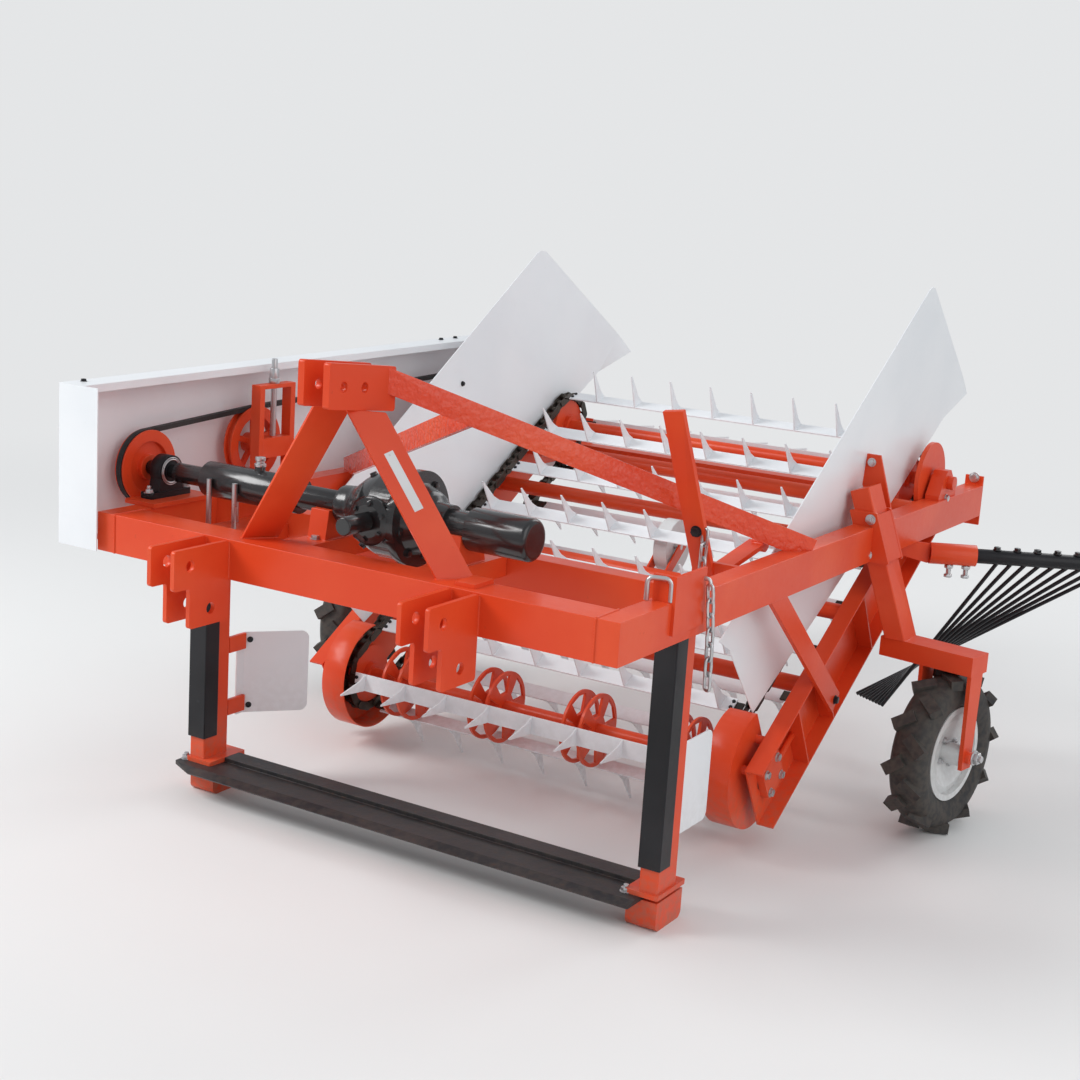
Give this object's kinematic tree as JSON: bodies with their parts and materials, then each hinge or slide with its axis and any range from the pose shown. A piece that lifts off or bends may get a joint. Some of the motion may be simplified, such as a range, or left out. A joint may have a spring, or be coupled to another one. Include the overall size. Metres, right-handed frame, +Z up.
{
  "type": "groundnut digger shaker",
  "caption": "Tractor-mounted groundnut digger shaker with a blade, a toothed slat elevator, gauge wheels and windrower rods.",
  "frame": {"origin": "on the ground, mid-width and midway between the front of the hitch plates and the tail of the deflectors", "axes": "+X to the right seen from the tractor, +Y to the rear, +Z up"},
  "size_m": [2.5944, 2.7186, 1.4781],
  "materials": {
    "red_paint": "satin",
    "white_paint": "satin",
    "black_gloss": "gloss",
    "black_satin": "satin",
    "chain_steel": "satin",
    "blade_steel": "satin",
    "belt_rubber": "matte",
    "zinc": "satin",
    "tyre_rubber": "matte",
    "rim_paint": "satin"
  },
  "bodies": {
    "frame": {"axle_studs": "zinc", "axle_tubes": "black_gloss", "belt_guard": "white_paint", "belt_pulleys": "red_paint", "blade": "blade_steel", "channel_struts": "red_paint", "crop_shields": "white_paint", "cross_beam": "red_paint", "cross_tubes": "red_paint", "deflector_left": "white_paint", "deflector_right": "white_paint", "drive_belt": "belt_rubber", "drum_shields": "red_paint", "elevator_chain_left": "chain_steel", "elevator_chain_right": "chain_steel", "elevator_slats": "white_paint", "elevator_teeth": "white_paint", "front_beam": "red_paint", "gearbox_cradles": "red_paint", "gearbox_housing": "black_gloss", "guide_roller": "rim_paint", "leg_left": "red_paint", "leg_right": "red_paint", "lift_lever": "red_paint", "lower_hitch_left": "red_paint", "lower_hitch_right": "red_paint", "lower_shaft": "red_paint", "mast_braces": "red_paint", "mast_legs": "red_paint", "panel_stays": "red_paint", "pillow_block": "black_satin", "post_sleeve_left": "red_paint", "post_sleeve_right": "red_paint", "shaft_bearings": "red_paint", "side_beam_left": "red_paint", "side_beam_right": "red_paint", "side_channel_left": "red_paint", "side_channel_right": "red_paint", "tensioner_slider": "red_paint", "tensioner_yoke": "red_paint", "top_hitch_bracket": "red_paint", "upper_shaft": "red_paint", "wear_caps": "black_satin", "windrower_socket_left": "red_paint", "windrower_socket_right": "red_paint"},
    "input_shaft": {"input_shaft": "black_gloss"},
    "gauge_leg_left": {"gauge_leg_left": "red_paint"},
    "wheel_left": {"wheel_rim_left": "rim_paint", "wheel_tyre_left": "tyre_rubber"},
    "windrower_left": {"windrower_left": "black_satin"},
    "gauge_leg_right": {"gauge_leg_right": "red_paint"},
    "wheel_right": {"wheel_rim_right": "rim_paint", "wheel_tyre_right": "tyre_rubber"},
    "windrower_right": {"windrower_right": "black_satin"}
  },
  "joints": [
    {"name": "pto_spin", "type": "hinge", "parent": "frame", "child": "input_shaft", "pos_m": [0, -1.1035, 0.912], "axis": [0, -1, 0], "continuous": true},
    {"name": "gauge_slide_left", "type": "slide", "parent": "frame", "child": "gauge_leg_left", "axis": [-0.342, 0, -0.9397], "range_m": [0, 0.1]},
    {"name": "wheel_spin_left", "type": "hinge", "parent": "gauge_leg_left", "child": "wheel_left", "pos_m": [-1.02, 0.3005, 0.23], "axis": [0.9877, 0.1564, 0], "continuous": true},
    {"name": "windrower_turn_left", "type": "hinge", "parent": "frame", "child": "windrower_left", "pos_m": [-0.796, 0.6825, 0.62], "axis": [0.866, -0.5, 0], "range_deg": [-8, 30]},
    {"name": "gauge_slide_right", "type": "slide", "parent": "frame", "child": "gauge_leg_right", "axis": [0.342, 0, -0.9397], "range_m": [0, 0.1]},
    {"name": "wheel_spin_right", "type": "hinge", "parent": "gauge_leg_right", "child": "wheel_right", "pos_m": [1.02, 0.3005, 0.23], "axis": [0.9877, -0.1564, 0], "continuous": true},
    {"name": "windrower_turn_right", "type": "hinge", "parent": "frame", "child": "windrower_right", "pos_m": [0.796, 0.6825, 0.7], "axis": [0.866, 0.5, 0], "range_deg": [-8, 30]}
  ]
}
